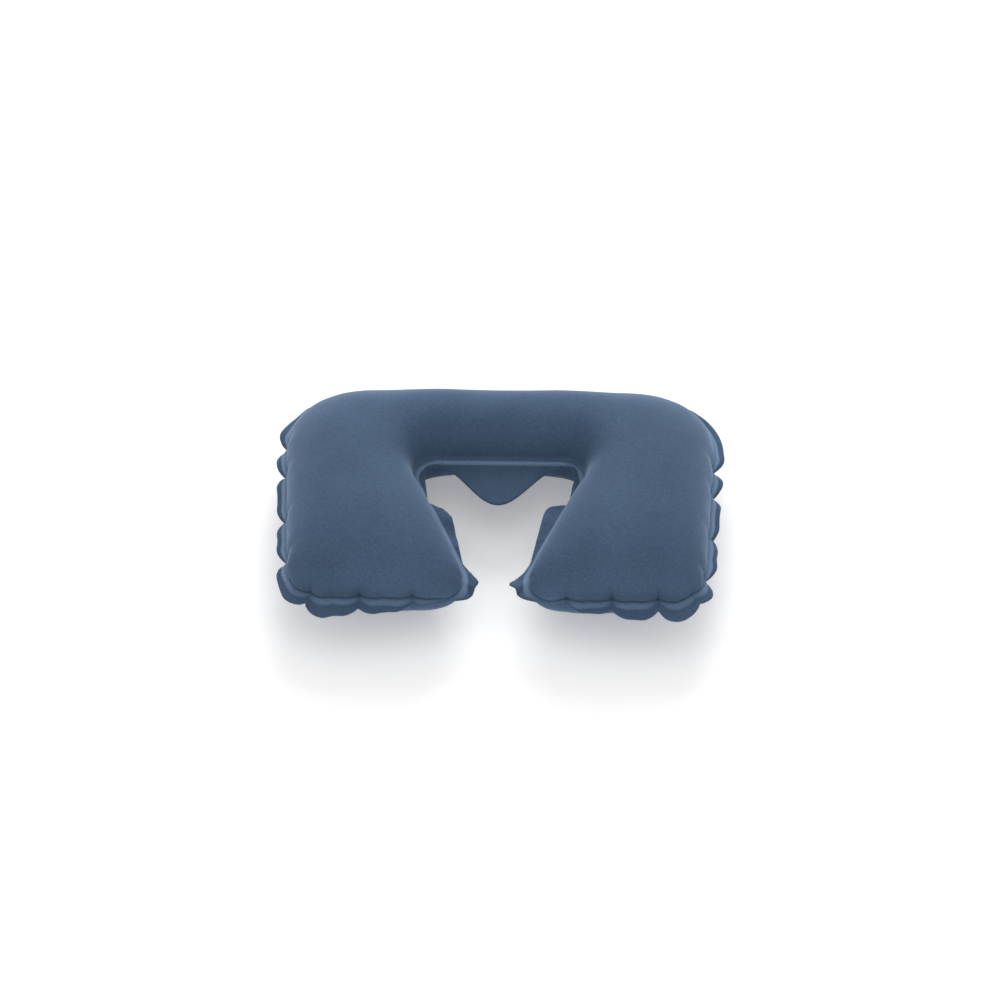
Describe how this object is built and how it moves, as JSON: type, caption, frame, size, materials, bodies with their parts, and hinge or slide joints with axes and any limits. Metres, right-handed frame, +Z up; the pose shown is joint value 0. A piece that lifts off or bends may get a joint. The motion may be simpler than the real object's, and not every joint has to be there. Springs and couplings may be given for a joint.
{
  "type": "inflatable neck pillow",
  "caption": "U-shaped inflatable camp and travel pillow: two welded flocked films with a flange, a neck flap and a push-in air valve.",
  "frame": {"origin": "bottom centre of the bounding box, on the ground under the pillow as it lies on its lower film", "axes": "+X across the pillow, along the back tube; +Y from the neck opening towards the back tube; +Z up through the two films"},
  "size_m": [0.412, 0.2704, 0.0954],
  "materials": {
    "flocked_film": "short velvet flock on soft film, matt with a pale sheen at grazing angles",
    "soft_vinyl": "soft moulded vinyl, satin",
    "cap_vinyl": "soft moulded vinyl, satin"
  },
  "bodies": {
    "pillow": {"upper_sheet": "flocked_film", "lower_sheet": "flocked_film", "valve_flange": "soft_vinyl", "valve_skirt": "soft_vinyl"},
    "flap": {"neck_flap": "flocked_film"},
    "stem": {"valve_stem": "soft_vinyl", "cap_collar": "cap_vinyl"},
    "cap": {"cap_plug": "cap_vinyl", "cap_strap": "cap_vinyl"},
    "check": {"check_flap": "soft_vinyl"}
  },
  "joints": [
    {"name": "flap_fold", "type": "hinge", "parent": "pillow", "child": "flap", "pos_m": [0, 0.0474, 0.0455], "axis": [-1, 0, 0], "range_deg": [-60, 70], "stiffness_Nm_per_rad": 0.03},
    {"name": "valve_pull", "type": "slide", "parent": "pillow", "child": "stem", "axis": [0, 0.8192, -0.5736], "range_m": [0, 0.014]},
    {"name": "cap_open", "type": "hinge", "parent": "stem", "child": "cap", "pos_m": [-0.045, 0.11121, 0.02091], "axis": [-1, 0, 0], "range_deg": [0, 100]},
    {"name": "check_flap_open", "type": "hinge", "parent": "stem", "child": "check", "pos_m": [-0.045, 0.10322, 0.03042], "axis": [1, 0, 0], "range_deg": [0, 50], "stiffness_Nm_per_rad": 0.00002}
  ]
}
